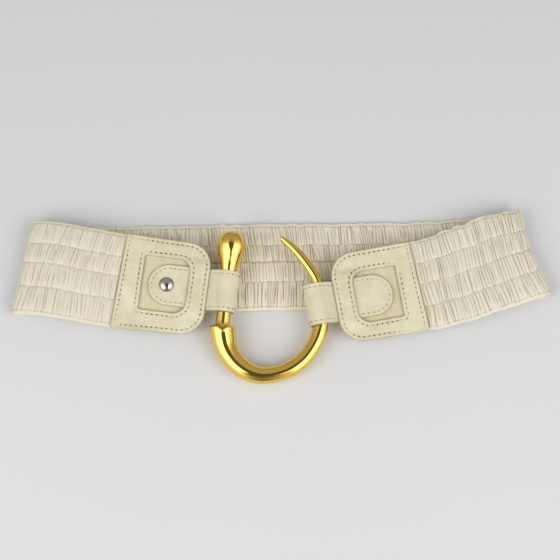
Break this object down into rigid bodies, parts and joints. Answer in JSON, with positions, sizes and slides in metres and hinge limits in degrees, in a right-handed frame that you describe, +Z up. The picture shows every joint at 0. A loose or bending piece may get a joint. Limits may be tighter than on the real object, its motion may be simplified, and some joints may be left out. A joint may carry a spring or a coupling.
{
  "type": "waist belt",
  "caption": "Wide waist belt of gathered leather, fastened with a polished horn-shaped metal hook through leather strap loops, lying flat.",
  "frame": {"origin": "on the table under the middle of the belt's box", "axes": "+X along the folded belt to the right, +Y across the band to its top edge, +Z up off the table to the front of the belt"},
  "size_m": [0.4126, 0.1384, 0.0298],
  "materials": {
    "gathered_leather": "soft cream leather, finely gathered on elastic thread",
    "tab_leather": "smooth cream leather with a fine matte grain and stitched edges",
    "strap_leather": "smooth cream leather with a fine matte grain and stitched edges",
    "snap_metal": "polished silver-coloured metal",
    "gold_metal": "polished gold-coloured metal"
  },
  "bodies": {
    "root": {"shirred_band": "gathered_leather", "tab_frame_left": "tab_leather", "tab_frame_right": "tab_leather", "tab_base_left": "tab_leather", "tab_base_right": "tab_leather", "loop_strap_left": "strap_leather", "loop_strap_right": "strap_leather", "snap_cap": "snap_metal", "hook": "gold_metal"}
  },
  "joints": []
}
